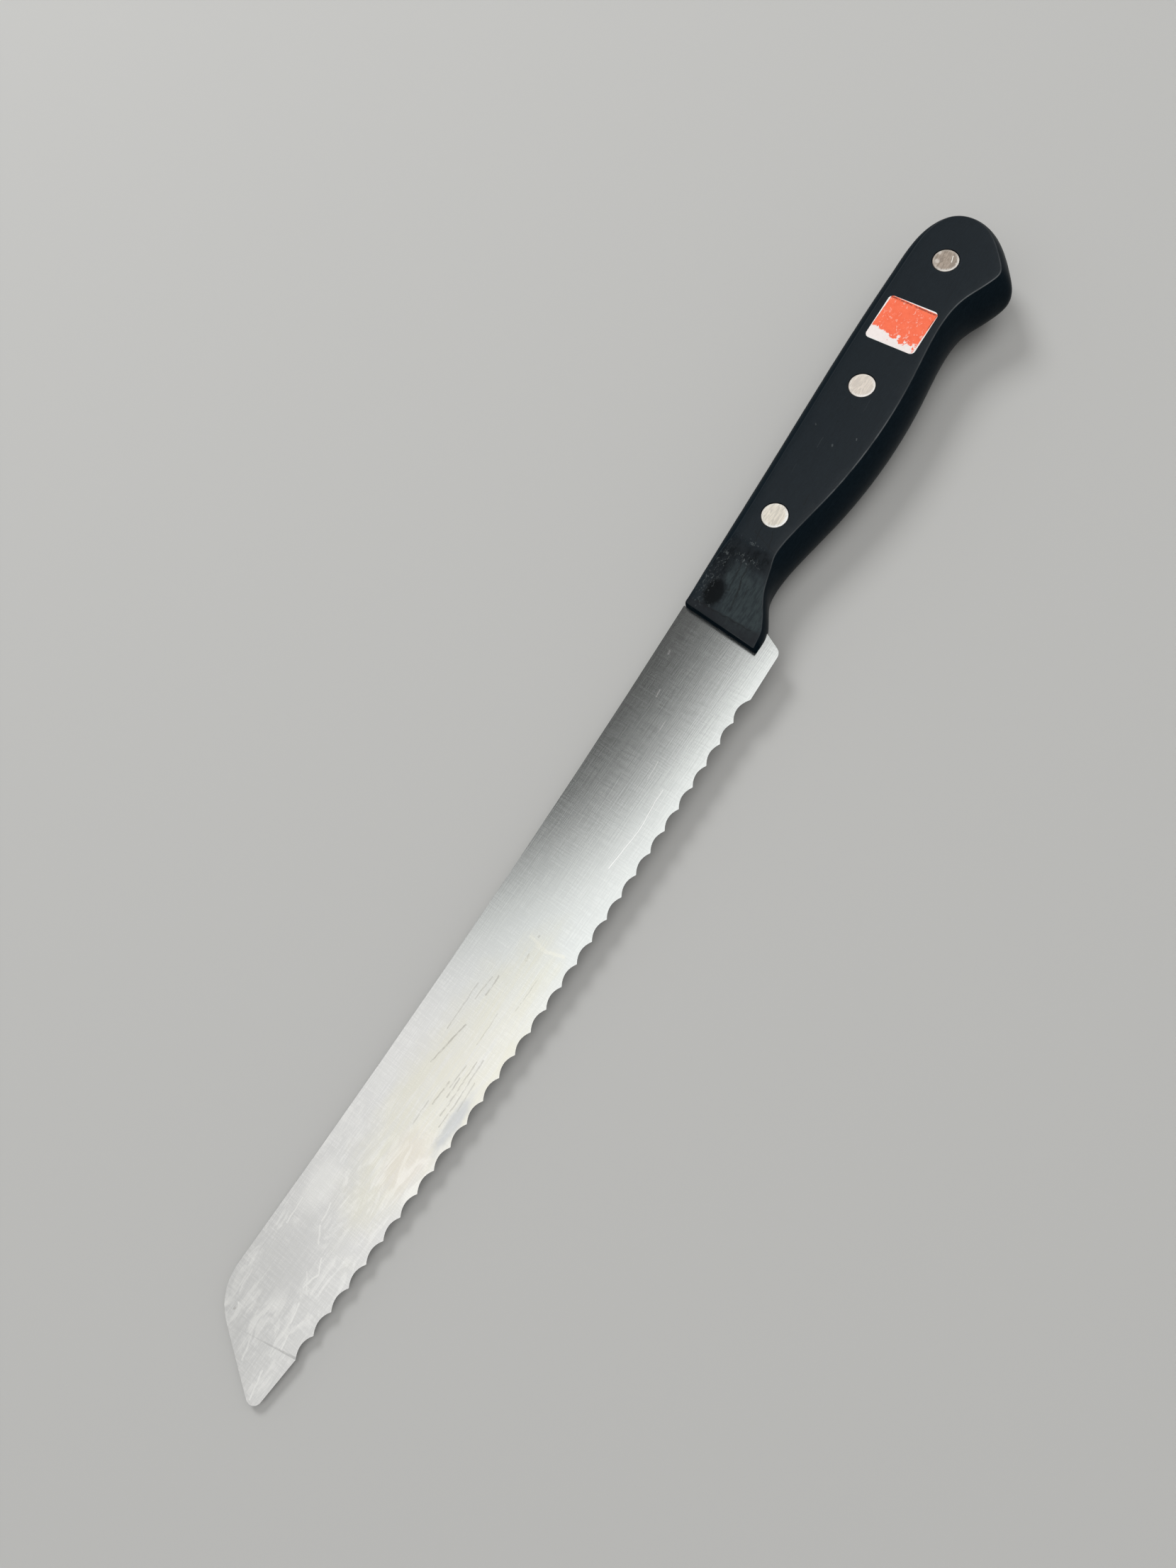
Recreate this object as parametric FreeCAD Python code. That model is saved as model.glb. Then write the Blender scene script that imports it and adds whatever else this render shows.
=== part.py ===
import FreeCAD, Part
import math
import os

# Bread knife lying on its right side, left side up.
# Millimetres. +X points from the handle to the tip, +Y from the spine to the edge, +Z up.
# While building, X = 0 is the front of the handle at mid height, and Y = 0 is the line that joins the two
# ends of the serrated edge. The last step moves the knife so that the origin is under its middle.

os.makedirs("parts", exist_ok=True)
V = FreeCAD.Vector

# ---- blade and tang: one stamped sheet ----
sheet_thickness = 2.0
spine_at_front = -26.15          # Y of the spine where it enters the handle
spine_mid = (90.0, -23.1)        # one point of the gently hollow spine
spine_end = (178.0, -22.95)      # where the spine turns straight towards the tip
tip_shoulder = (186.05, -22.95)  # corner between spine and slanted tip, before rounding
tip_point = (200.2, -1.35)       # corner between slanted tip and edge, before rounding
tip_shoulder_radius = 12.3
tip_radius = 2.0
heel_corner = (-2.2, 0.05)       # lowest rear corner of the blade, before rounding
heel_top = (-6.6, -8.9)          # where the heel's rear edge ends, inside the handle
heel_radius = 2.2

# ---- serrated edge: shallow scallops ground from the right side only ----
scallop_pitch = 6.0
scallop_depth = 1.0
serration_start = 11.9           # X of the rearmost cusp
plain_tip = 13.7                 # at least this much of the edge stays plain next to the tip
edge_curve_radius = 1893.0       # the cusps lie on this large arc
plain_edge_rise = 0.55           # the plain heel stands this far beyond the line of cusps
bevel_height = 5.0               # how far the ground bevel reaches up the right face

# ---- tang outline, hidden between the two scales ----
# Its end is placed by the rear rivet: each X in tang_end is counted from that rivet's centre.
tang_shoulder = 3.0              # step from the spine down to the tang
tang_spine = [(-60.0, -26.2)]
tang_end = [(0.25, -27.9), (-7.75, -24.5), (-6.25, -14.5), (4.25, -11.8)]
tang_belly = [(-92.0, -12.3), (-72.0, -10.3), (-55.0, -9.8), (-22.0, -13.2), (-13.5, -13.2)]

# ---- handle: two moulded scales that meet in the middle plane ----
# The butt is placed by the rear rivet too: the X values in butt_spine, butt_belly and hook_centre are
# counted from it.
scale_thickness = 7.6            # middle plane to flat outer face
scale_front_lean = 0.082         # the front line leans forward towards the edge, X per Y
scale_front_y = -15.0            # the front line crosses X = 0 at this Y
flank_inset = 3.2                # the flat face is this much smaller than the outline
flank_power = 2.4                # 1 is a straight flank, higher is rounder
flank_levels = (0.0, 0.3, 0.55, 0.78, 1.0)
spine_samples = 24               # steps along each side of the grip at every level of the flank
belly_samples = 36
ramp_length = 19.4               # the face slopes down over this length at the front
ramp_front_height = 2.75         # height of the scale's front face above the blade
guard_place = -4.5               # X where the low front corner of the belly is fuller
guard_fullness = 0.75
guard_reach = 1.7
finger_place = -14.0             # X where the belly's flank is straighter, under the first finger
finger_straighter = 0.5          # share of the inset that is missing there
finger_reach = 5.0
hook_centre = (-2.45, -6.35)     # the hooked end of the grip is an arc around this point
hook_radius = 3.6
hook_angles = (128.0, 62.0)
scale_spine = [(14.0, -25.5), (-12.0, -26.75), (-36.0, -28.15), (-62.0, -29.75), (-88.0, -31.1)]
butt_spine = [(2.25, -31.6), (-9.35, -30.4), (-15.35, -25.7), (-16.35, -17.5), (-11.95, -9.9)]
butt_belly = [(3.05, -4.8), (8.75, -7.3), (17.25, -8.15)]
scale_belly = [(-77.0, -6.55), (-60.0, -5.4), (-40.0, -6.7), (-20.0, -9.8), (-12.2, -9.3), (-7.2, -6.45),
               (-2.0, -4.9), (14.0, -4.8)]

# ---- three cutler's rivets, each a socket from the left and a stem from the right ----
rivet_names = ("front", "middle", "rear")
rivet_first = (-28.85, -18.3)
rivet_spacing = 39.7
rivet_line_slope = 0.0192        # the line of rivets follows the handle, Y per X
rivet_head_radius = 3.25
rivet_head_height = 1.6
rivet_head_chamfer = 0.12
socket_radius = 2.5
stem_radius = 1.6
stem_reach = 11.0                # length of the stem above its head
socket_reach = 11.6              # length of the socket's tube below its head

# ---- label on the left scale ----
label_centre = (-87.45, -19.65)
label_length = 13.0
label_height = 13.1
label_corner = 1.2
label_thickness = 0.1
label_turn = 1.9                 # degrees, square to the handle rather than to the blade

# ---- clearances ----
scale_joint_gap = 0.02           # between the two scales in the middle plane
pocket_face_gap = 0.01           # between the sheet's faces and the scales
pocket_side_gap = 0.05           # around the tang's outline
bore_gap = 0.02                  # around rivet heads and sockets
stem_gap = 0.01                  # between stem and socket
label_gap = 0.01                 # glue under the label

# ---- heights and places worked out from the sizes above ----
blade_top = scale_thickness + sheet_thickness / 2
blade_bottom = scale_thickness - sheet_thickness / 2
total_thickness = 2 * scale_thickness
scallop_count = int((tip_point[0] - plain_tip - serration_start) / scallop_pitch)
serration_end = serration_start + scallop_pitch * scallop_count
serration_mid = (serration_start + serration_end) / 2
edge_centre = V(serration_mid, -math.sqrt(edge_curve_radius ** 2 - (serration_end - serration_mid) ** 2), 0)
beyond = 40.0                    # how far cutting tools reach past what they cut


def cusp_line(x, rise=0.0):
    """Y of the large arc that the cusps lie on, or of the arc this far outside it."""
    radius = edge_curve_radius + rise
    return edge_centre.y + math.sqrt(radius ** 2 - (x - edge_centre.x) ** 2)


def front_line(y):
    """X of the handle's front line at this Y."""
    return (y - scale_front_y) * scale_front_lean


def rivet_places():
    """Centres of the three rivets, front to rear."""
    x, y = rivet_first
    steps = [i * rivet_spacing for i in range(len(rivet_names))]
    return [(x - step, y - step * rivet_line_slope) for step in steps]


def from_rear_rivet(*points):
    """Points whose X is counted from the rear rivet's centre, placed on the knife."""
    rear = rivet_places()[-1][0]
    return [(rear + x, y) for x, y in points]


def prism(edges, z0, z1):
    """Solid between two heights, from the edges of a closed outline drawn at z = 0."""
    face = Part.Face(Part.Wire(Part.sortEdges(edges)[0]))
    face.translate(V(0, 0, z0))
    return face.extrude(V(0, 0, z1 - z0))


def lines(corners):
    """Straight edges from corner to corner, left open at the end."""
    return [Part.makeLine(V(*a, 0), V(*b, 0)) for a, b in zip(corners, corners[1:])]


def is_upright(edge):
    return abs(edge.tangentAt(edge.FirstParameter).z) > 0.99


def round_upright(solid, corner, radius):
    """Round the upright edge nearest to this corner."""
    def distance(edge):
        return math.hypot(edge.Vertexes[0].X - corner[0], edge.Vertexes[0].Y - corner[1])
    return solid.makeFillet(radius, [min(filter(is_upright, solid.Edges), key=distance)])


# ---------------------------------------------------------------- blade

def tang_corners(grow=0.0):
    """Outline of the tang, from under the spine, round its end, to the top of the heel."""
    shoulder_y = spine_at_front + tang_shoulder
    corners = [(front_line(shoulder_y) + pocket_side_gap, shoulder_y - grow)]
    top, *end, bottom = from_rear_rivet(*tang_end)
    corners += [(x, y - grow) for x, y in tang_spine + [top]]
    corners += [(x - grow, y) for x, y in end]
    corners += [(x, y + grow) for x, y in [bottom] + tang_belly]
    corners.append((heel_top[0] - grow, heel_top[1] + grow))
    return corners


def blade_blank():
    """Unsharpened sheet: blade and tang, with the tip and heel rounded."""
    spine_front = (front_line(spine_at_front) + pocket_side_gap, spine_at_front)
    step_x = serration_end - scallop_pitch / 2
    step = (step_x, cusp_line(step_x, plain_edge_rise))
    plain_heel = (serration_start, cusp_line(serration_start, plain_edge_rise))
    edge_middle = (serration_mid, cusp_line(serration_mid, plain_edge_rise))
    edges = [Part.Arc(V(*spine_front, 0), V(*spine_mid, 0), V(*spine_end, 0)).toShape()]
    edges += lines([spine_end, tip_shoulder, tip_point, (serration_end, cusp_line(serration_end)), step])
    edges.append(Part.Arc(V(*step, 0), V(*edge_middle, 0), V(*plain_heel, 0)).toShape())
    edges += lines([plain_heel, heel_corner] + tang_corners()[::-1] + [spine_front])
    blank = prism(edges, blade_bottom, blade_top)
    blank = round_upright(blank, tip_shoulder, tip_shoulder_radius)
    blank = round_upright(blank, tip_point, tip_radius)
    return round_upright(blank, heel_corner, heel_radius)


def scallop_cutters():
    """One long cylinder per scallop, laid along the bevel, on the right side of the sheet."""
    slope = math.atan2(sheet_thickness, bevel_height)
    groove_depth = scallop_depth * math.sin(slope)
    radius = ((scallop_pitch / 2) ** 2 + groove_depth ** 2) / (2 * groove_depth)
    along = V(0, math.cos(slope), math.sin(slope))
    outward = V(0, math.sin(slope), -math.cos(slope))
    deepest = V(edge_centre.x, edge_centre.y + edge_curve_radius - scallop_depth, blade_top)
    start = deepest + outward * radius - along * 3 * bevel_height
    step = 2 * math.degrees(math.asin(scallop_pitch / 2 / edge_curve_radius))
    cutters = []
    for i in range(scallop_count):
        cutter = Part.makeCylinder(radius, 6 * bevel_height, start, along)
        cutter.rotate(edge_centre, V(0, 0, 1), (i - (scallop_count - 1) / 2) * step)
        cutters.append(cutter)
    return cutters


def bevel_cutter(start, end):
    """Wedge that grinds the right side along a straight stretch of plain edge."""
    section = [V(0, 0, blade_top), V(0, -bevel_height, blade_bottom), V(0, -bevel_height, 0),
               V(0, bevel_height, 0), V(0, bevel_height, blade_top)]
    run = math.hypot(end[0] - start[0], end[1] - start[1])
    wedge = Part.Face(Part.makePolygon(section + section[:1])).extrude(V(run, 0, 0))
    wedge.rotate(V(0, 0, 0), V(0, 0, 1), math.degrees(math.atan2(end[1] - start[1], end[0] - start[0])))
    wedge.translate(V(*start, 0))
    return wedge


def blade():
    plain_heel = (serration_start, cusp_line(serration_start, plain_edge_rise))
    heel_rise = (plain_heel[1] - heel_corner[1]) / (plain_heel[0] - heel_corner[0])
    heel_rear = (heel_corner[0] - bevel_height, heel_corner[1] - bevel_height * heel_rise)
    tools = scallop_cutters()
    tools.append(bevel_cutter(heel_rear, plain_heel))
    tools.append(bevel_cutter((serration_end, cusp_line(serration_end)), tip_point))
    for x, y in rivet_places():
        tools.append(Part.makeCylinder(socket_radius + pocket_side_gap, total_thickness, V(x, y, 0)))
    return blade_blank().cut(tools)


# ---------------------------------------------------------------- handle scales
# A scale is built with the joint plane at z = 0, then lifted, or mirrored, into place.

def hook_point(angle, inset=0.0):
    """Point on the arc of the hooked butt, at this angle in degrees."""
    (x, y), = from_rear_rivet(hook_centre)
    turn, reach = math.radians(angle), hook_radius - inset
    return V(x + reach * math.cos(turn), y + reach * math.sin(turn), 0)


def hook_heading(angle):
    """Direction of travel round that arc, from the spine's side to the belly."""
    turn = math.radians(angle)
    return V(math.sin(turn), -math.cos(turn), 0)


def grip_side(points, first_heading, last_heading):
    """Smooth curve along one side of the grip, in the joint plane."""
    curve = Part.BSplineCurve()
    curve.interpolate(Points=points, InitialTangent=first_heading, FinalTangent=last_heading)
    return curve


def flank_inset_at(point, level):
    """How far the grip is smaller than its outline here, at one level of the flank."""
    inset = flank_inset * level ** flank_power
    if point.y < scale_front_y:
        return inset
    straighter = finger_straighter * math.exp(-((point.x - finger_place) / finger_reach) ** 2)
    fuller = guard_fullness * math.exp(-((point.x - guard_place) / guard_reach) ** 2)
    return inset * (1 - straighter) - fuller * (1 - level)


def inset_side(side, samples, level):
    """The same side of the grip at one level: 0 is the joint plane, 1 is the flat face."""
    first, last = side.FirstParameter, side.LastParameter
    places = [first + (last - first) * i / samples for i in range(samples + 1)]
    points = []
    for place in places:
        point, heading = side.value(place), side.tangent(place)[0]
        inset = flank_inset_at(point, level)
        points.append(V(point.x + heading.y * inset, point.y - heading.x * inset, scale_thickness * level))
    curve = Part.BSplineCurve()
    curve.interpolate(Points=points, Parameters=places,
                      InitialTangent=side.tangent(first)[0], FinalTangent=side.tangent(last)[0])
    return curve


def grip_block():
    """Body of one scale with rounded flanks, still running on ahead of the handle's front."""
    start, stop = hook_angles
    spine_points = [V(*p, 0) for p in scale_spine + from_rear_rivet(*butt_spine)]
    belly_points = [V(*p, 0) for p in from_rear_rivet(*butt_belly) + scale_belly]
    spine = grip_side(spine_points + [hook_point(start)], V(-1, 0, 0), hook_heading(start))
    belly = grip_side([hook_point(stop)] + belly_points, hook_heading(stop), V(1, 0, 0))
    wires = []
    for level in flank_levels:
        inset = flank_inset * level ** flank_power
        lift = V(0, 0, scale_thickness * level)
        arc = Part.Arc(*(hook_point(a, inset) + lift for a in (start, (start + stop) / 2, stop)))
        above = inset_side(spine, spine_samples, level)
        below = inset_side(belly, belly_samples, level)
        front = Part.makeLine(below.EndPoint, above.StartPoint)
        wires.append(Part.Wire([above.toShape(), arc.toShape(), below.toShape(), front]))
    return Part.makeLoft(wires, True, False)


def front_cutter():
    """Everything ahead of the handle's front line."""
    corners = [(front_line(-beyond), -beyond), (beyond, -beyond)]
    corners += [(beyond, beyond), (front_line(beyond), beyond)]
    return prism(lines(corners + corners[:1]), -beyond, beyond)


def ramp_cutter():
    """Everything above the sloping front part of the face."""
    front_z = sheet_thickness / 2 + ramp_front_height
    slope = (scale_thickness - front_z) / ramp_length
    section = [V(-ramp_length, -beyond, scale_thickness), V(beyond, -beyond, front_z - slope * beyond),
               V(beyond, -beyond, beyond), V(-ramp_length, -beyond, beyond)]
    return Part.Face(Part.makePolygon(section + section[:1])).extrude(V(0, 2 * beyond, 0))


def tang_pocket():
    """Room for the sheet: the tang's outline and the heel, open at the front."""
    shoulder_y = spine_at_front + tang_shoulder
    corners = tang_corners(pocket_side_gap)
    corners += [(heel_corner[0] - pocket_side_gap, heel_corner[1]), (beyond, heel_corner[1])]
    corners += [(beyond, shoulder_y - pocket_side_gap)]
    depth = sheet_thickness / 2 + pocket_face_gap
    return prism(lines(corners + corners[:1]), -depth, depth)


def scale():
    """One scale: body, front, ramp, half pocket and rivet holes."""
    below_joint = V(-4 * beyond, -beyond, scale_joint_gap / 2 - beyond)
    joint = Part.makeBox(4 * beyond, 2 * beyond, beyond, below_joint)
    tools = [front_cutter(), ramp_cutter(), joint, tang_pocket()]
    seat_z = scale_thickness - rivet_head_height - bore_gap
    for x, y in rivet_places():
        tools.append(Part.makeCylinder(socket_radius + bore_gap, beyond, V(x, y, -scale_thickness)))
        tools.append(Part.makeCylinder(rivet_head_radius + bore_gap, beyond, V(x, y, seat_z)))
    return grip_block().cut(tools)


def left_scale():
    body = scale()
    body.translate(V(0, 0, scale_thickness))
    return body


def right_scale():
    body = scale().mirror(V(0, 0, 0), V(0, 0, 1))
    body.translate(V(0, 0, scale_thickness))
    return body


# ---------------------------------------------------------------- rivets

def rivet_head(x, y):
    """Flat head with its outer face at z = 0 and a narrow chamfer round it."""
    disc = Part.makeCylinder(rivet_head_radius, rivet_head_height, V(x, y, -rivet_head_height))
    rim = [e for e in disc.Edges if len(e.Vertexes) == 1 and e.Vertexes[0].Z > -rivet_head_chamfer]
    return disc.makeChamfer(rivet_head_chamfer, rim)


def rivet_socket(x, y):
    """Left half of a rivet: head and tube, with a blind hole for the stem."""
    tube_end = V(x, y, -rivet_head_height - socket_reach)
    tube = Part.makeCylinder(socket_radius, socket_reach, tube_end)
    body = rivet_head(x, y).fuse(tube).removeSplitter()
    body = body.cut(Part.makeCylinder(stem_radius + stem_gap, socket_reach, tube_end))
    body.translate(V(0, 0, total_thickness))
    return body


def rivet_stem(x, y):
    """Right half of a rivet: head and stem."""
    head = rivet_head(x, y).mirror(V(0, 0, 0), V(0, 0, 1))
    stem = Part.makeCylinder(stem_radius, stem_reach, V(x, y, rivet_head_height))
    return head.fuse(stem).removeSplitter()


# ---------------------------------------------------------------- label

def label():
    body = Part.makeBox(label_length, label_height, label_thickness,
                        V(-label_length / 2, -label_height / 2, total_thickness + label_gap))
    body = body.makeFillet(label_corner, list(filter(is_upright, body.Edges)))
    body.rotate(V(0, 0, 0), V(0, 0, 1), label_turn)
    body.translate(V(*label_centre, 0))
    return body


# ---------------------------------------------------------------- the knife

nodes = {"blade": blade(), "left_scale": left_scale(), "right_scale": right_scale(), "label": label()}
for name, (x, y) in zip(rivet_names, rivet_places()):
    nodes[name + "_rivet_socket"] = rivet_socket(x, y)
    nodes[name + "_rivet_stem"] = rivet_stem(x, y)

whole = Part.makeCompound(list(nodes.values())).optimalBoundingBox()
to_frame = V(-(whole.XMin + whole.XMax) / 2, -(whole.YMin + whole.YMax) / 2, 0)
print("moved by", round(to_frame.x, 3), round(to_frame.y, 3))
for name, shape in nodes.items():
    shape.translate(to_frame)
    shape.exportStep("parts/" + name + ".step")
    print(name, len(shape.Solids), shape.isValid(), round(shape.Volume, 1))
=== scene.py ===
import math

import bmesh
import bpy
import numpy as np
from mathutils import Matrix, Vector, geometry
from mathutils.bvhtree import BVHTree
from mathutils.kdtree import KDTree


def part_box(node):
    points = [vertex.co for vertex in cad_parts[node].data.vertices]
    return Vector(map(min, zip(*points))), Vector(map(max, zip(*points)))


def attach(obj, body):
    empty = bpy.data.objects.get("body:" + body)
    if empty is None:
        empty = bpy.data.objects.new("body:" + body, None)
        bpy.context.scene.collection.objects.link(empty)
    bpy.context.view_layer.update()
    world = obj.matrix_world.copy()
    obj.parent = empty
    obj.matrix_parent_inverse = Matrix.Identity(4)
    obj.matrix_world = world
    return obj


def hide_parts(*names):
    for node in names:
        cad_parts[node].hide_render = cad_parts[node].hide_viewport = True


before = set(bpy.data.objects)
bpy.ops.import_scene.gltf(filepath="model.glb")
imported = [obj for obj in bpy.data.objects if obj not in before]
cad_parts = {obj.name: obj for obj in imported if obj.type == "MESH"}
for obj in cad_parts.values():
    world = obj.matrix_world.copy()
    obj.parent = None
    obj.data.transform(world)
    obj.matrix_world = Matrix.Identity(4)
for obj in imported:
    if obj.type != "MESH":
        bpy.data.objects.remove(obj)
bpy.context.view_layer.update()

# Bread knife lying on its right side, in the frame of the solids: +X to the tip, +Y to the edge, +Z up.
# Lengths are in metres. Places on the surface are in millimetres: u from the handle's front towards the tip,
# v from the line of the cutting edge away from the spine, h from the joint of the grips to the left side.

# ------------------------------------------------------------------ blade
# One stamped, hardened and satin-ground steel sheet: blade, heel and tang. The grain of the grinding belt
# runs across the blade. The edge is scalloped from the right side only.

mm = 0.001


def centre(node):
    """Middle of a solid's box."""
    low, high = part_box(node)
    return (low + high) / 2


front_rivet = centre("front_rivet_socket")
rivet_from_front = Vector((-28.85, -18.3))                  # u and v of the front rivet
zero = Vector((front_rivet.x, front_rivet.y)) - rivet_from_front * mm
joint_height = (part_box("left_scale")[0].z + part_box("right_scale")[1].z) / 2


class Nodes:
    """Writes the nodes of one tree. Each method adds what it needs and gives back an output."""

    def __init__(self, tree):
        self.tree = tree

    def link(self, socket, value):
        if isinstance(value, bpy.types.NodeSocket):
            self.tree.links.new(value, socket)
        else:
            socket.default_value = value

    def add(self, kind, *values, **settings):
        node = self.tree.nodes.new(kind)
        for name, value in settings.items():
            setattr(node, name, value)
        for socket, value in zip(node.inputs, values):
            if value is not None:
                self.link(socket, value)
        return node

    def vector(self, operation, a, b=(0, 0, 0), scale=1.0):
        node = self.add("ShaderNodeVectorMath", a, b, None, scale, operation=operation)
        return node.outputs["Value" if operation in ("DOT_PRODUCT", "LENGTH") else "Vector"]

    def math(self, operation, a, b=0.0, c=0.0, clamp=False):
        return self.add("ShaderNodeMath", a, b, c, operation=operation, use_clamp=clamp).outputs[0]

    def product(self, *factors):
        value = factors[0]
        for factor in factors[1:]:
            value = self.math("MULTIPLY", value, factor)
        return value

    def total(self, *terms):
        value = terms[0]
        for term in terms[1:]:
            value = self.math("ADD", value, term)
        return value

    def least(self, *values):
        value = values[0]
        for other in values[1:]:
            value = self.math("MINIMUM", value, other)
        return value

    def most(self, *values):
        value = values[0]
        for other in values[1:]:
            value = self.math("MAXIMUM", value, other)
        return value

    def ease(self, value, start, end, low=0.0, high=1.0):
        """Smooth change from low at start to high at end."""
        node = self.add("ShaderNodeMapRange", value, start, end, low, high, interpolation_type="SMOOTHSTEP")
        return node.outputs[0]

    def seam(self, value, place, width):
        """1 on a line where value equals place, fading to 0 at this distance."""
        away = self.math("ABSOLUTE", self.math("SUBTRACT", value, place))
        return self.ease(away, width, 0.0)


class Finish(Nodes):
    """One material. Its place is in millimetres: u and v on the knife, h above the joint of the grips."""

    def __init__(self, name, **constants):
        self.material = bpy.data.materials.new(name)
        self.material.use_nodes = True
        super().__init__(self.material.node_tree)
        self.shader = self.tree.nodes["Principled BSDF"]
        for socket, value in constants.items():
            self.shader.inputs[socket.replace("_", " ")].default_value = value
        place = self.add("ShaderNodeTexCoord").outputs["Object"]
        shifted = self.vector("SUBTRACT", place, (zero.x, zero.y, joint_height))
        self.place = self.vector("SCALE", shifted, scale=1 / mm)
        self.u, self.v, self.h = self.add("ShaderNodeSeparateXYZ", self.place).outputs

    def stretch(self, su, sv, sh=1.0, shift=0.0):
        """Place on the knife, scaled per axis, so that noise runs along or across it."""
        moved = self.vector("MULTIPLY", self.place, (su, sv, sh))
        return self.vector("ADD", moved, (shift, shift * 0.7, shift * 0.3))

    def noise(self, place, scale=1.0, detail=3.0, rough=0.55, warp=0.0):
        node = self.add("ShaderNodeTexNoise", place, noise_dimensions="3D")
        settings = {"Scale": scale, "Detail": detail, "Roughness": rough, "Distortion": warp}
        for name, value in settings.items():
            node.inputs[name].default_value = value
        return node.outputs["Fac"]

    def blot(self, u, v, ru, rv, turn=0.0, ragged=0.0, grain=1.0, soft=0.35):
        """Oval patch at u, v with a ragged border: 1 inside, 0 outside."""
        c, s = math.cos(math.radians(turn)), math.sin(math.radians(turn))
        du, dv = self.math("SUBTRACT", self.u, u), self.math("SUBTRACT", self.v, v)
        along = self.total(self.product(du, c / ru), self.product(dv, s / ru))
        across = self.total(self.product(du, -s / rv), self.product(dv, c / rv))
        away = self.math("SQRT", self.total(self.product(along, along), self.product(across, across)))
        if ragged:
            wobble = self.noise(self.stretch(grain, grain, shift=u), 1.0, 4.0, 0.6)
            away = self.total(away, self.product(self.math("SUBTRACT", wobble, 0.5), 2 * ragged))
        return self.ease(away, 1 + soft, 1 - soft)

    def wobbled(self, amount, grain, shift=0.0):
        """Place on the knife, shaken by up to this many millimetres, so that marks are uneven."""
        node = self.add("ShaderNodeTexNoise", self.stretch(1, 1, shift=shift), noise_dimensions="3D")
        node.inputs["Scale"].default_value = grain
        node.inputs["Detail"].default_value = 3.0
        shake = self.vector("SUBTRACT", node.outputs["Color"], (0.5, 0.5, 0.5))
        flat = self.vector("MULTIPLY", self.place, (1, 1, 0))
        return self.vector("ADD", flat, self.vector("MULTIPLY", shake, (2 * amount, 2 * amount, 0)))

    def stroke(self, place, u0, v0, u1, v1, width, soft=0.8):
        """Straight mark between two points: 1 on its line, 0 at this distance from it."""
        run = Vector((u1 - u0, v1 - v0, 0))
        offset = self.vector("SUBTRACT", place, (u0, v0, 0))
        along = self.vector("DOT_PRODUCT", offset, tuple(run))
        share = self.math("MULTIPLY", along, 1 / run.length_squared, clamp=True)
        nearest = self.vector("SCALE", tuple(run), scale=share)
        away = self.vector("LENGTH", self.vector("SUBTRACT", offset, nearest))
        return self.ease(away, width, width * (1 - soft))

    def strokes(self, place, marks):
        """The strongest of many marks: each is u0, v0, u1, v1, width, strength."""
        return self.most(*(self.product(self.stroke(place, *mark[:5]), mark[5]) for mark in marks))

    def mix(self, share, a, b, blend="MIX"):
        node = self.add("ShaderNodeMix", data_type="RGBA", blend_type=blend)
        for socket, value in zip((node.inputs[0], node.inputs[6], node.inputs[7]), (share, a, b)):
            self.link(socket, (*value, 1.0) if isinstance(value, tuple) and len(value) == 3 else value)
        return node.outputs[2]

    def attribute(self, name):
        return self.add("ShaderNodeAttribute", attribute_name=name).outputs["Fac"]

    def bump(self, height, distance, strength=1.0, normal=None):
        """Relief from a height of 0 to 1, as deep as distance in millimetres."""
        node = self.add("ShaderNodeBump")
        node.inputs["Strength"].default_value = strength
        node.inputs["Distance"].default_value = distance * mm
        self.link(node.inputs["Height"], height)
        if normal is not None:
            self.link(node.inputs["Normal"], normal)
        return node.outputs[0]

    def finish(self, **inputs):
        for name, value in inputs.items():
            if isinstance(value, tuple) and len(value) == 3:
                value = (*value, 1.0)
            self.link(self.shader.inputs[name.replace("_", " ")], value)
        return self.material


def dress(obj, material):
    """Give every face of an object one material."""
    obj.data.materials.clear()
    obj.data.materials.append(material)


def finish_piece(obj, material, slot, *nodes, sharp=35.0, flat=1.0):
    """Smooth shading with creases, also round level faces, then material and body. The slot is not used."""
    bm = bmesh.new()
    bm.from_mesh(obj.data)
    bmesh.ops.recalc_face_normals(bm, faces=bm.faces)
    for face in bm.faces:
        face.smooth = True
    for edge in bm.edges:
        level = {abs(face.normal.z) > flat for face in edge.link_faces}
        edge.smooth = edge.is_manifold and edge.calc_face_angle(0) < math.radians(sharp) and len(level) == 1
    bm.to_mesh(obj.data)
    bm.free()
    dress(obj, material)
    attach(obj, "root")
    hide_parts(*nodes)


# marks on the left face, each as u and v of both ends, half width, strength
film_rim = ((84.2, -1.5, 85.6, -5.5, 0.7, 0.5), (85.6, -5.5, 84.6, -10.5, 0.7, 0.4))
wiped_curls = (
    (160, -19.5, 166, -19.2, 0.32, 0.9), (157, -13.3, 161, -12.8, 0.3, 0.9),
    (162, -12.4, 165, -10.4, 0.35, 1), (167, -8.2, 170, -6.6, 0.32, 1), (170, -6.6, 174, -7.6, 0.32, 1),
    (171, -8.8, 174.5, -6.2, 0.28, 0.8), (177, -6.2, 181, -5.6, 0.35, 1),
    (183.5, -4.4, 186.5, -3.8, 0.32, 0.9), (192, -4.5, 198, -3.6, 0.35, 0.9),
    (184.9, -17.6, 186.0, -16.8, 0.32, 1), (188, -11, 193, -9.6, 0.3, 0.7), (178, -19.5, 183, -19, 0.3, 0.7))
light_scratches = (
    (10.7, -22.6, 11.5, -22.4, 0.4, 0.9), (20, -18.9, 22, -18.7, 0.28, 0.8), (35, -9.2, 40, -8.9, 0.14, 0.5),
    (40, -4.6, 51, -3.7, 0.15, 0.6), (51, -3.7, 62, -4.5, 0.15, 0.6), (26, -13.5, 29, -13.2, 0.13, 0.5))
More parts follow.
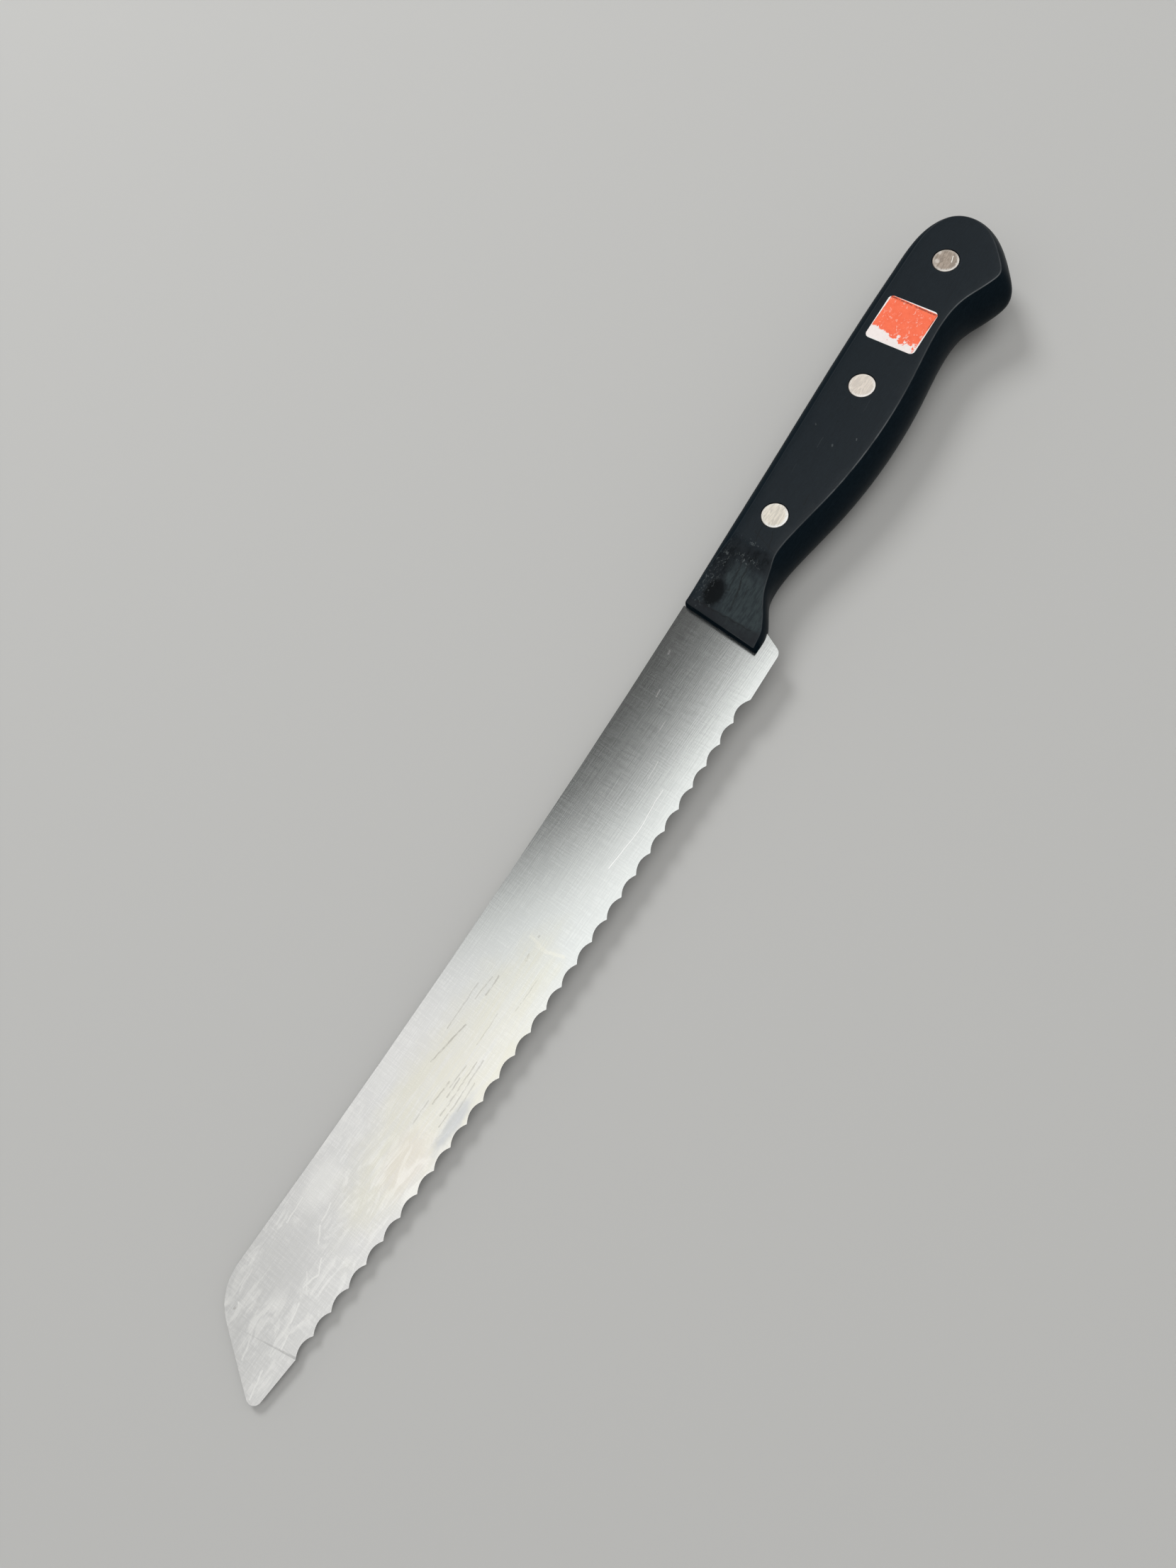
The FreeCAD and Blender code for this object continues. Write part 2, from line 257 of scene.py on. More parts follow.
dark_scratches = (
    (109, -11.3, 116, -12.5, 0.30, 1.0), (116, -12.5, 120, -13, 0.28, 0.9),
    (119, -5.5, 124, -5.4, 0.28, 0.9), (114, -4.3, 128, -4.2, 0.26, 0.8), (121, -7, 127, -7.1, 0.28, 0.8),
    (113, -3.2, 130, -2.9, 0.26, 0.8), (116, -5.9, 122, -6.2, 0.24, 0.7), (118, -1.9, 125, -1.7, 0.24, 0.6),
    (127, -8.3, 133, -8.4, 0.22, 0.6), (96, -11.5, 101, -11.4, 0.28, 0.8), (97, -12.6, 103, -12.9, 0.22, 0.6),
    (100, -14.5, 112, -14.3, 0.24, 0.6), (92, -3.6, 100, -3.5, 0.2, 0.5), (103, -6.6, 111, -6.5, 0.2, 0.5),
    (88.2, -8.6, 89.8, -8.4, 0.35, 0.6), (83.4, -9, 83.7, -9, 0.35, 0.6),
    (186.2, -17.6, 186.5, -17.6, 0.4, 0.9))


def steel_finish():
    m = Finish("satin_steel", Metallic=1.0, Anisotropic=0.7)
    left = m.math("GREATER_THAN", m.h, 0.0)
    ground = m.attribute("ground")
    across = m.noise(m.stretch(3.0, 0.16), 1.0, 3.0, 0.7)
    along = m.noise(m.stretch(0.12, 3.2, shift=3.0), 1.0, 3.0, 0.7)
    weave = m.total(m.product(across, m.ease(m.u, 90.0, 30.0, 0.5, 0.62)), m.product(along, 0.45))
    cloud = m.noise(m.stretch(0.05, 0.12, shift=11.0), 1.0, 4.0, 0.55)
    contrast = m.ease(m.u, 40, 110, 0.25, 0.34)
    lines = m.total(m.product(m.math("SUBTRACT", m.ease(weave, 0.42, 0.62), 0.5), contrast), 0.5)
    colour = m.mix(lines, (0.45, 0.452, 0.448), (0.70, 0.70, 0.69))
    colour = m.mix(m.product(cloud, 0.3), colour, (0.62, 0.62, 0.60))
    colour = m.mix(m.ease(m.u, 120, 80), colour, (0.965, 1.0, 1.0), "MULTIPLY")

    # warm film dried on the middle of the blade
    drawn_out = m.noise(m.stretch(0.09, 1.1, shift=15.0), 1.0, 4.0)
    stain = m.product(left, m.blot(121, -6.5, 37, 9.5, 0, 0.45, 0.12, 0.3),
                      m.ease(cloud, 0.25, 0.55, 0.5, 1.0), m.ease(drawn_out, 0.35, 0.6, 0.55, 1.0))
    colour = m.mix(m.product(stain, 0.42), colour, (0.66, 0.64, 0.50))
    pink = m.blot(140, -4.5, 7.5, 4, 0, 0.5, 0.3, 0.5)
    colour = m.mix(m.product(pink, left, 0.22), colour, (0.60, 0.51, 0.44))
    grey = m.blot(128, -0.8, 6.5, 1.4, 0, 0.5, 0.4, 0.5)
    colour = m.mix(m.product(grey, left, 0.55), colour, (0.36, 0.38, 0.42))
    rim = m.strokes(m.wobbled(0.45, 0.35), film_rim)
    colour = m.mix(m.product(rim, left, 0.5), colour, (0.74, 0.72, 0.60))

    # wiped film towards the tip: light wavy smears around a smoother grey patch
    smear = m.noise(m.stretch(0.10, 0.34, shift=23.0), 1.0, 5.0, 0.60, 1.2)
    smear = m.product(m.ease(smear, 0.48, 0.66), m.ease(m.u, 118.0, 150.0), 0.75)
    smooth = m.blot(170.5, -13, 8, 4.6, 8, 0.35, 0.25, 0.4)
    smear = m.product(smear, m.math("SUBTRACT", 1.0, m.product(smooth, 0.85)))
    pale = m.blot(155, -17.5, 6, 3.2, 0, 0.5, 0.3, 0.5)
    smear = m.most(smear, m.product(pale, 0.7))
    curls = m.strokes(m.wobbled(0.7, 0.28, 5.0), wiped_curls)
    smear = m.product(m.most(smear, curls), m.total(m.product(left, 0.6), 0.4))
    colour = m.mix(m.product(smear, 0.42), colour, (0.82, 0.82, 0.79))
    colour = m.mix(m.product(smooth, left, 0.3), colour, (0.52, 0.52, 0.515))

    # scratches and scuffs from use
    light = m.strokes(m.wobbled(0.35, 0.25, 9.0), light_scratches)
    colour = m.mix(m.product(light, left), colour, (0.86, 0.86, 0.85))
    dark = m.strokes(m.wobbled(0.4, 0.22, 13.0), dark_scratches)
    broken = m.ease(m.noise(m.stretch(0.6, 3.0, shift=19.0), 1.0, 4.0, 0.7), 0.36, 0.52)
    colour = m.mix(m.product(dark, broken, left, 0.55), colour, (0.26, 0.25, 0.22))

    # the ground edge is finer and brighter, with lines down each scallop
    strokes_down = m.noise(m.stretch(6.0, 0.3, shift=31.0), 1.0, 3.0, 0.6)
    bright = m.mix(m.ease(strokes_down, 0.35, 0.65), (0.62, 0.625, 0.63), (0.78, 0.785, 0.79))
    colour = m.mix(ground, colour, bright)

    rough = m.total(m.product(weave, 0.08), m.product(m.most(smear, stain), 0.06), 0.11)
    lengthwise = m.vector("ADD", (1, 0, 0))
    return m.finish(Base_Color=colour, Roughness=rough, Normal=m.bump(weave, 0.005), Tangent=lengthwise)


touching = 0.001 * mm                                       # points this close together are one point
arris_round = 0.13 * mm
bevel_normals = (-0.9995, -0.6)                             # Z of the normal on the ground scallops


def joined_copy(node):
    """The mesh of a solid, with its triangles joined at their corners."""
    bm = bmesh.new()
    bm.from_mesh(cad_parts[node].data)
    bmesh.ops.remove_doubles(bm, verts=bm.verts, dist=touching)
    return bm


def blade_piece():
    """Copy of the solid with its flat faces whole and its square arrises broken."""
    bm = joined_copy("blade")
    bmesh.ops.dissolve_limit(bm, angle_limit=math.radians(0.2), verts=bm.verts, edges=bm.edges)
    arrises = []
    for edge in bm.edges:
        if len(edge.link_faces) == 2:
            steep = sorted(abs(face.normal.z) for face in edge.link_faces)
            if steep[0] < 0.05 and steep[1] > 0.99:
                arrises.append(edge)
    bmesh.ops.bevel(bm, geom=arrises, offset=arris_round, segments=3, profile=0.5, affect="EDGES",
                    clamp_overlap=True)
    # the bevel leaves tiny collapsed faces where a scallop runs out, and a loose fin beside them
    bmesh.ops.remove_doubles(bm, verts=bm.verts, dist=0.01 * mm)
    bmesh.ops.dissolve_degenerate(bm, dist=0.002 * mm, edges=bm.edges)
    bmesh.ops.triangulate(bm, faces=[f for f in bm.faces if len(f.verts) > 4])
    fins = [f for f in bm.faces if sum(e.is_boundary for e in f.edges) > 1]
    bmesh.ops.delete(bm, geom=fins, context="FACES")
    mesh = bpy.data.meshes.new("serrated_blade")
    bm.to_mesh(mesh)
    bm.free()
    ground = mesh.attributes.new("ground", "FLOAT", "FACE")
    steepest, flattest = bevel_normals
    on_bevel = [float(steepest < face.normal.z < flattest) for face in mesh.polygons]
    ground.data.foreach_set("value", on_bevel)
    obj = bpy.data.objects.new("serrated_blade", mesh)
    bpy.context.scene.collection.objects.link(obj)
    finish_piece(obj, steel_finish(), "blade_steel", "blade", sharp=32.0, flat=0.9999)


blade_piece()

# ------------------------------------------------------------------ grips
# Two scales moulded in black plastic and ground with the rivets to one flat face. Hands have polished the
# ridges; water has dried on the sloping front.


def on_knife(u, v, height=0.0):
    """Point at u and v in millimetres, at a height in metres."""
    return Vector((zero.x + u * mm, zero.y + v * mm, height))


def new_piece(name, points, faces, material, slot, *nodes):
    """Mesh object at the origin that stands for CAD nodes."""
    mesh = bpy.data.meshes.new(name)
    mesh.from_pydata([tuple(p) for p in points], [], faces)
    mesh.validate()
    obj = bpy.data.objects.new(name, mesh)
    bpy.context.scene.collection.objects.link(obj)
    finish_piece(obj, material, slot, *nodes)
    return obj


def outlines_at(node, height):
    """Closed outlines where a plane cuts a CAD node, longest first."""
    bm = joined_copy(node)
    cut = bmesh.ops.bisect_plane(bm, geom=bm.verts[:] + bm.edges[:] + bm.faces[:], plane_co=(0, 0, height),
                                 plane_no=(0, 0, 1), clear_inner=True, clear_outer=True)["geom_cut"]
    links = {}
    for edge in cut:
        if isinstance(edge, bmesh.types.BMEdge):
            a, b = edge.verts
            links.setdefault(a, []).append(b)
            links.setdefault(b, []).append(a)
    loops = []
    while links:
        here = next(iter(links))
        loop, last = [], None
        while here in links:
            following = [v for v in links.pop(here) if v is not last and v in links]
            loop.append(Vector((here.co.x, here.co.y)))
            last = here
            here = following[0] if following else None
        loops.append(loop)
    bm.free()
    loops.sort(key=len, reverse=True)
    return loops


def signed_area(loop):
    """Area of a closed outline, above 0 if it runs anticlockwise."""
    return sum(a.x * b.y - b.x * a.y for a, b in zip(loop, loop[1:] + loop[:1])) / 2


def resample(path, places):
    """Points of a polyline at these distances along it."""
    points = np.array([tuple(p) for p in path])
    run = np.concatenate([[0.0], np.cumsum(np.linalg.norm(np.diff(points, axis=0), axis=1))])
    return np.stack([np.interp(places, run, points[:, i]) for i in range(points.shape[1])], axis=1)


def length(path):
    """Length of a polyline."""
    points = np.array([tuple(p) for p in path])
    return float(np.linalg.norm(np.diff(points, axis=0), axis=1).sum())


def fair(points, rounds=40):
    """Smooth an open polyline without shrinking it; its ends stay."""
    points = points.copy()
    for i in range(2 * rounds):
        share = 0.5 if i % 2 == 0 else -0.52
        points[1:-1] += share * ((points[:-2] + points[2:]) / 2 - points[1:-1])
    return points


def spaced(total, step, fine, zone):
    """Distances from 0 to total, close together within a zone at both ends."""
    ends = np.arange(0.0, zone, fine)
    middle = np.linspace(zone, total - zone, int((total - 2 * zone) / step) + 1)
    return np.concatenate([ends, middle, total - ends[::-1]])


scale_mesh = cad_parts["left_scale"].data
scale_points = [v.co for v in scale_mesh.vertices]
grip_tree = BVHTree.FromPolygons(scale_points, [p.vertices for p in scale_mesh.polygons])
level_normal = 0.9                                          # faces whose normal has a higher Z are the top
flank_tree = BVHTree.FromPolygons(scale_points, [p.vertices for p in scale_mesh.polygons
                                                 if p.normal.z < level_normal])


def surface_height(u, v):
    """Height of the solid's top at a place on the knife."""
    return grip_tree.ray_cast(on_knife(u, v, 1.0), Vector((0, 0, -1)))[0].z


face_height = surface_height(-48, -19)
ramp_upper, ramp_lower = -12, -4                            # u of two places on the slope
ramp_low = surface_height(ramp_lower, -15)
ramp_slope = (surface_height(ramp_upper, -15) - ramp_low) / ((ramp_lower - ramp_upper) * mm)
ramp_start = zero.x + ramp_lower * mm - (face_height - ramp_low) / ramp_slope
break_round = 0.35 * mm                                     # how softly the face turns into the slope


def top_height(x):
    """Height of the scale's top: the flat face, then the slope, with the break between them rounded."""
    past = x - ramp_start
    rounded = break_round * np.log1p(np.exp(np.minimum(past, 5 * mm) / break_round))
    return face_height - ramp_slope * np.where(past > 4 * break_round, past, rounded)


ray_lead, ray_reach = 0.4 * mm, 9 * mm                      # a ray starts outside the flank and ends inside
flank_jump = 0.9 * mm                                       # a larger step from one level to the next left it
fewest_hits = 4


def flank_insets(point, way, heights):
    """How far in the flank lies at each height, carried on in line above its end; None off the flank."""
    insets = []
    for height in heights:
        start = Vector((*(point - way * ray_lead), height))
        hit = flank_tree.ray_cast(start, Vector((*way, 0)), ray_reach)[0]
        if hit is None:
            break
        inset = (hit.x - point[0]) * way[0] + (hit.y - point[1]) * way[1]
        if insets and abs(inset - insets[-1]) > flank_jump:
            break
        insets.append(inset)
    if len(insets) < fewest_hits:
        return None
    while len(insets) < len(heights):
        insets.append(2 * insets[-1] - insets[-2])
    return insets


hook_corner = on_knife(-110.7, -6.35)                       # where the butt turns into its hook
hook_smoothing = (16, 160)                                  # points on each side, rounds
upright_smoothing = (5, 6)
corner_smoothing = (9, 40)


def relax(ring, corners, reach, rounds, share=1.0):
    """Smooth a closed ring round some of its points, less and less over this many points on each side."""
    weight = np.zeros(len(ring))
    for corner in corners:
        for k in range(-reach, reach + 1):
            weight[(corner + k) % len(ring)] = share * (1 - (k / (reach + 1)) ** 2)
    for _ in range(rounds):
        neighbours = (np.roll(ring, 1, 0) + np.roll(ring, -1, 0)) / 2
        ring += 0.5 * weight[:, None] * (neighbours - ring)


outline_height = 1.1 * mm                                   # above the joint, clear of the tang's pocket
joint_gap = 0.01 * mm                                       # the rings start this far off the joint
ring_step, corner_step, corner_zone = 0.4 * mm, 0.09 * mm, 1.6 * mm
ring_levels = (0.0, 0.1, 0.22, 0.35, 0.48, 0.6, 0.7, 0.79, 0.86, 0.92, 0.96, 1.0)


def grip_rings():
    """Rings of points round the left grip, from the joint to the ridge, open at the straight front."""
    loop = outlines_at("left_scale", joint_height + outline_height)[0]
    if signed_area(loop) < 0:
        loop.reverse()
    gaps = [(b - a).length for a, b in zip(loop, loop[1:] + loop[:1])]
    first = gaps.index(max(gaps))
    path = loop[first + 1:] + loop[:first + 1]
    path = fair(resample(path, spaced(length(path), ring_step, corner_step, corner_zone)))
    along = np.gradient(path, axis=0)
    along /= np.linalg.norm(along, axis=1)[:, None]
    inward = np.stack([-along[:, 1], along[:, 0]], axis=1)
    floor_height = joint_height + joint_gap
    heights = np.linspace(floor_height, face_height - joint_gap, 30)
    found = [flank_insets(point, way, heights) for point, way in zip(path, inward)]
    stations = np.arange(len(path))
    good = [i for i in stations if found[i] is not None]
    insets = np.array([found[min(good, key=lambda g: abs(g - i))] for i in stations])

    def ring_at(height):
        step = np.clip((height - heights[0]) / (heights[1] - heights[0]), 0, len(heights) - 1.001)
        low = step.astype(int)
        inset = insets[stations, low] + (step - low) * (insets[stations, low + 1] - insets[stations, low])
        return path + inward * inset[:, None]

    # where the ridge lies and how high the top is there depend on each other, so they close in by turns
    top = np.full(len(path), face_height)
    for _ in range(15):
        top = top_height(ring_at(top)[:, 0])
    rings = []
    for level in ring_levels:
        ring = fair(ring_at(floor_height + level * (top - floor_height)), 25)
        at_hook = int(np.argmin(np.hypot(ring[:, 0] - hook_corner.x, ring[:, 1] - hook_corner.y)))
        relax(ring, [at_hook], *hook_smoothing, level ** 2)
        height = floor_height + level * (top - floor_height) if level < 1.0 else top_height(ring[:, 0])
        rings.append(np.column_stack([ring, height]))
    return rings


def close_front(rings):
    """Add the straight front to each ring and round its two upright corners."""
    closed = []
    for ring in rings:
        a, b = ring[-1], ring[0]
        run = float(np.linalg.norm(b - a))
        places = spaced(run, 2 * ring_step, corner_step, corner_zone)[1:-1] / run
        front = a + (b - a) * places[:, None]
        whole = np.concatenate([ring, front])
        relax(whole, (0, len(ring) - 1), *upright_smoothing)
        closed.append(whole)
    return closed


def ways_in(ring):
    """Level direction from each point of a closed ring to its inside."""
    along = np.roll(ring[:, :2], -1, 0) - np.roll(ring[:, :2], 1, 0)
    along /= np.linalg.norm(along, axis=1)[:, None]
    return np.stack([-along[:, 1], along[:, 0], np.zeros(len(ring))], axis=1)


rivet_names = ("front", "middle", "rear")
rivet_centres = [centre(name + "_rivet_socket") for name in rivet_names]
socket_low, socket_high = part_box("front_rivet_socket")
head_radius = (socket_high.x - socket_low.x) / 2
hole_radius = head_radius + 0.15 * mm
hole_sides = 96
far_from_ridge = 3.0                                        # millimetres, for the pockets' floors
rivet_head_height = 1.6 * mm
hole_depth = rivet_head_height + 0.02 * mm
ridge_width = 0.28 * mm                                     # the ridge is rounded this far on each side
cap_step_u, cap_step_v, break_step = 2.5 * mm, 1.5 * mm, 0.25 * mm
border_gap, rivet_gap = 0.8 * mm, 4.2 * mm                  # how far inner points keep from border and rivets


def point_finder(ring):
    """Finds the nearest point of a ring as seen from above."""
    finder = KDTree(len(ring))
    for i, p in enumerate(ring):
        finder.insert((p[0], p[1], 0), i)
    finder.balance()
    return finder


def cap_triangles(ring, holes):
    """Flat triangulation of the top between its border and the rivet holes."""
    count = len(ring)
    points = [Vector(p[:2]) for p in ring]
    edges = [(i, (i + 1) % count) for i in range(count)]
    for hole in holes:
        start = len(points)
        points += [Vector(p[:2]) for p in hole]
        edges += [(start + i, start + (i + 1) % len(hole)) for i in range(len(hole))]
    border = point_finder(ring)
    low, high = ring.min(0), ring.max(0)
    columns = list(np.arange(low[0], ramp_start - 2 * mm, cap_step_u))
    columns += [ramp_start + k * break_step for k in range(-5, 7)]
    columns += list(np.arange(ramp_start + cap_step_u, high[0], cap_step_u))
    inside = BVHTree.FromPolygons([Vector((p[0], p[1], 0)) for p in ring], [tuple(range(count))])
    for x in columns:
        for y in np.arange(low[1], high[1], cap_step_v):
            clear = border.find((x, y, 0))[2] > border_gap
            clear = clear and all(math.hypot(x - c.x, y - c.y) > rivet_gap for c in rivet_centres)
            if clear and inside.ray_cast(Vector((x, y, 1)), Vector((0, 0, -1)))[0] is not None:
                points.append(Vector((x, y)))
    out = geometry.delaunay_2d_cdt(points, edges, [], 1, 1e-9)
    flat, faces = out[0], out[2]
    on_holes = range(count, count + len(holes) * hole_sides)
    kept = [tuple(face) for face in faces if not all(i in on_holes for i in face)]
    return flat, kept


def rounded_rings():
    """Closed rings up to the top, with a rounded ridge, and each point's signed distance from the ridge."""
    open_rings = grip_rings()
    front_corners = (0, len(open_rings[0]) - 1)
    rings = close_front(open_rings)
    ridge = rings.pop()
    drop = rings[-1] - ridge
    drop /= np.linalg.norm(drop, axis=1)[:, None]
    flank_side = ridge + drop * ridge_width
    top_side = ridge + ways_in(ridge) * ridge_width
    relax(top_side, front_corners, *corner_smoothing)
    top_side[:, 2] = top_height(top_side[:, 0])
    kept = [r for r in rings if np.all(np.linalg.norm(r - ridge, axis=1) > 1.3 * ridge_width)]
    distance = [np.linalg.norm(r - ridge, axis=1) / -mm for r in kept]
    for t in (0.0, 0.2, 0.4, 0.6, 0.8, 1.0):
        kept.append((1 - t) ** 2 * flank_side + 2 * t * (1 - t) * ridge + t * t * top_side)
        distance.append(np.full(len(ridge), (2 * t - 1) * ridge_width / mm))
    return ridge, kept, distance


def grip_mesh():
    """Points, faces and each point's distance from the ridge in millimetres, below 0 on the flank."""
    ridge, kept, distance = rounded_rings()
    points = np.concatenate(kept)
    count = len(ridge)
    faces = []
    for k in range(len(kept) - 1):
        for i in range(count):
            j = (i + 1) % count
            faces.append((k * count + i, k * count + j, (k + 1) * count + j, (k + 1) * count + i))
    faces.append(tuple(range(count))[::-1])

    turns = [2 * math.pi * i / hole_sides for i in range(hole_sides)]
    holes = [[(c.x + hole_radius * math.cos(a), c.y + hole_radius * math.sin(a)) for a in turns]
             for c in rivet_centres]
    flat, triangles = cap_triangles(kept[-1], holes)
    base = (len(kept) - 1) * count
    border = point_finder(ridge)
    names = {}
    extra, extra_distance = [], []
    for i, p in enumerate(flat):
        if i < count:
            names[i] = base + i
            continue
        names[i] = len(points) + len(extra)
        extra.append((p.x, p.y, float(top_height(np.array([p.x]))[0])))
        extra_distance.append(border.find((p.x, p.y, 0))[2] / mm)
    faces += [tuple(names[i] for i in t) for t in triangles]
    start = count
    for hole in holes:
        lower = len(points) + len(extra)
        extra += [(x, y, face_height - hole_depth) for x, y in hole]
        extra_distance += [far_from_ridge] * len(hole)
        for i in range(len(hole)):
            j = (i + 1) % len(hole)
            faces.append((names[start + i], names[start + j], lower + j, lower + i))
        faces.append(tuple(range(lower, lower + len(hole))))
        start += len(hole)
    points = np.concatenate([points, np.array(extra)])
    return points, faces, np.concatenate([*distance, extra_distance])


grip_points, grip_faces, ridge_distance = grip_mesh()

# marks on the left face, each as u and v of both ends, half width, strength
film_cracks = (
    (-15, -18.6, -8, -17.8, 0.30, 0.7), (-15, -16.9, -12, -16.6, 0.28, 0.8),
    (-12, -16.6, -9, -15.8, 0.30, 0.9), (-9, -15.8, -4, -14.8, 0.28, 0.7),
    (-11, -14.2, -8, -13.6, 0.22, 0.5), (-2.4, -23, -2.3, -8, 0.25, 0.6))
face_scratches = (
    (-26, -19.5, -21, -18.6, 0.16, 0.9), (-25, -16.4, -20.5, -14.5, 0.15, 0.8),
    (-23, -20, -20.5, -13, 0.14, 0.6), (-37.5, -14.2, -34.5, -13.8, 0.16, 0.8),
    (-70, -20.4, -62, -20.1, 0.1, 0.6), (-104, -14, -98, -13.6, 0.1, 0.6))
face_nicks = (
    (-51.4, -16.6, -51, -16.4, 0.26, 1), (-55.4, -12.5, -55, -12.3, 0.24, 1),
    (-54.4, -23.1, -54.1, -22.9, 0.2, 0.8), (-52, -19.6, -49, -19.4, 0.12, 0.35),
    (-43, -21.2, -40.5, -21, 0.1, 0.2), (-66, -15.2, -62.5, -15, 0.1, 0.2))
ridge_chips = (
    (-57.8, -8.9, -57.2, -8.9, 0.5, 1), (-42.6, -10.1, -42, -10.1, 0.45, 1),
    (-78.4, -10.1, -77.8, -10.1, 0.45, 1))
ramp_border = (-21.0, -19.5)                                # u where the flat face turns into the slope


def grip_finish():
    m = Finish("black_plastic")
    ridge = m.attribute("ridge")
    left = m.math("GREATER_THAN", m.h, 0.0)
    top = m.product(left, m.ease(ridge, 0.0, 0.25))
    on_ramp = m.product(top, m.ease(m.u, *ramp_border))
    on_face = m.product(top, m.ease(m.u, *reversed(ramp_border)))
    brushed = m.total(m.product(m.noise(m.stretch(0.5, 4.5), 1.0, 4.0, 0.7), 0.6),
                      m.product(m.noise(m.stretch(1.6, 2.2, shift=12.0), 1.0, 4.0, 0.7), 0.4))
    mottled = m.noise(m.stretch(0.6, 0.9, shift=4.0), 1.0, 5.0, 0.65)
    colour = m.mix(m.ease(brushed, 0.36, 0.64), (0.0034, 0.0072, 0.0106), (0.0056, 0.0108, 0.0155))

    # water film and dirt on the sloping front, and a painted dark reflection on it
    streaks = m.noise(m.stretch(0.30, 1.5, shift=9.0), 1.0, 5.0, 0.68)
    film = m.most(m.blot(-7.0, -11.8, 6.5, 7.4, 0, 0.40, 0.6, 0.35),
                  m.blot(-11.0, -17.2, 4.2, 3.4, 0, 0.5, 0.7, 0.4))
    film = m.product(film, on_ramp, m.ease(streaks, 0.38, 0.56, 0.30, 1.0),
                     m.ease(mottled, 0.3, 0.6, 0.65, 1.0))
    colour = m.mix(film, colour, (0.0270, 0.0375, 0.0405))
    # painted dark reflection: darker, duller patches where the slope mirrors a dim part of the room
    painted_dark_reflection = m.most(m.blot(-14.0, -22.4, 6.0, 2.4, 0, 0.5, 0.8, 0.5),
                   m.blot(-17.2, -16, 2.2, 5.5, 0, 0.5, 0.8, 0.6))
    painted_dark_reflection = m.product(painted_dark_reflection, m.ease(mottled, 0.35, 0.6, 1.0, 0.55))
    colour = m.mix(m.product(painted_dark_reflection, on_ramp, 0.7), colour, (0.0025, 0.0032, 0.0038))
    strip = m.product(m.ease(m.u, -2.9, -2.1), on_ramp, m.ease(mottled, 0.3, 0.6, 0.5, 1.0))
    colour = m.mix(m.product(strip, 0.6), colour, (0.0120, 0.0128, 0.0150))
    blot = m.blot(-6.0, -20.5, 3.5, 2.4, 0, 0.40, 1.1, 0.30)
    colour = m.mix(m.product(blot, on_ramp, 0.85), colour, (0.0022, 0.0027, 0.0032))
    cracks = m.strokes(m.wobbled(0.6, 0.6, 2.0), film_cracks)
    colour = m.mix(m.product(cracks, on_ramp, 0.7), colour, (0.0020, 0.0024, 0.0028))
    crumbs = m.ease(m.noise(m.stretch(1.3, 1.6, shift=6.0), 1.0, 5.0, 0.75, 0.4), 0.56, 0.62)
    crumb_zone = m.most(m.blot(-9.5, -23.2, 8.0, 1.7, 0, 0.5, 0.8, 0.4),
                        m.blot(-15.9, -17.6, 1.5, 3.4, 0, 0.5, 0.8, 0.4),
                        m.blot(-20.3, -18.8, 0.6, 3.4, 0, 0.5, 0.8, 0.5),
                        m.blot(-3.2, -19.8, 0.7, 0.9, 0, 0.4, 0.8, 0.4))
    colour = m.mix(m.product(crumbs, crumb_zone, left, 0.75), colour, (0.0750, 0.0870, 0.0890))

    # nicks and scratches on the flat face
    scratches = m.strokes(m.wobbled(0.3, 0.4, 8.0), face_scratches)
    colour = m.mix(m.product(scratches, on_face, 0.8), colour, (0.0015, 0.0018, 0.0020))
    nicks = m.strokes(m.wobbled(0.2, 0.9, 3.0), face_nicks)
    colour = m.mix(m.product(nicks, on_face, 0.45), colour, (0.1100, 0.1200, 0.1250))

    # ridges worn pale by the hand on the belly side
    patchy = m.ease(m.noise(m.stretch(0.22, 0.22, shift=17.0), 1.0, 4.0, 0.6), 0.35, 0.62, 0.25, 1.0)
    belly = m.ease(m.v, -14.6, -13.2)
    grip_zone = m.most(m.blot(-52, -9, 13, 9, 0, 0, 1, 0.5), m.blot(-103, -8, 8, 9, 0, 0, 1, 0.5))
    worn = m.product(m.seam(ridge, 0.03, 0.26), belly, m.total(0.35, m.product(grip_zone, 0.65)), patchy)
    chips = m.strokes(m.place, ridge_chips)
    worn = m.most(worn, m.product(chips, left, m.seam(ridge, 0.05, 0.4)))
    colour = m.mix(m.product(worn, 0.55), colour, (0.1500, 0.1620, 0.1680))

    rough = m.total(m.product(brushed, 0.10), m.product(film, 0.14), m.product(blot, -0.06), 0.27)
    dull = m.most(m.product(painted_dark_reflection, 0.7), m.product(blot, 0.8), m.product(strip, 0.5))
    shine = m.product(m.total(0.30, m.product(on_ramp, -0.10)), m.ease(film, 0.0, 1.0, 1.0, 0.8),
                      m.ease(m.product(dull, on_ramp), 0.0, 1.0, 1.0, 0.25))
    flank_shine = m.product(m.ease(m.v, -20.0, -10.0, 0.003, 0.018), m.ease(m.u, -0.5, -2.0))
    shine_step = m.math("SUBTRACT", shine, flank_shine)
    shine = m.math("MULTIPLY_ADD", m.ease(ridge, -0.30, 0.08), shine_step, flank_shine)
    relief = m.total(m.product(brushed, 0.4), m.product(film, mottled, 0.5))
    return m.finish(Base_Color=colour, Roughness=rough, Specular_IOR_Level=shine,
                    Normal=m.bump(relief, 0.012))


plastic = grip_finish()


def grip_piece(name, node, mirrored):
    points = grip_points.copy()
    faces = grip_faces
    if mirrored:
        points[:, 2] = 2 * joint_height - points[:, 2]
        faces = [face[::-1] for face in faces]
    obj = new_piece(name, points, faces, plastic, "handle_plastic", node)
    layer = obj.data.attributes.new("ridge", "FLOAT", "POINT")
    layer.data.foreach_set("value", ridge_distance.astype(np.float32))


grip_piece("left_grip", "left_scale", False)
grip_piece("right_grip", "right_scale", True)

# ------------------------------------------------------------------ rivets
# Three cutler's rivets in nickel silver. Each is a tube with a head from the left and a stem with the same
# head from the right, turned, pressed together and ground flush with the grips.

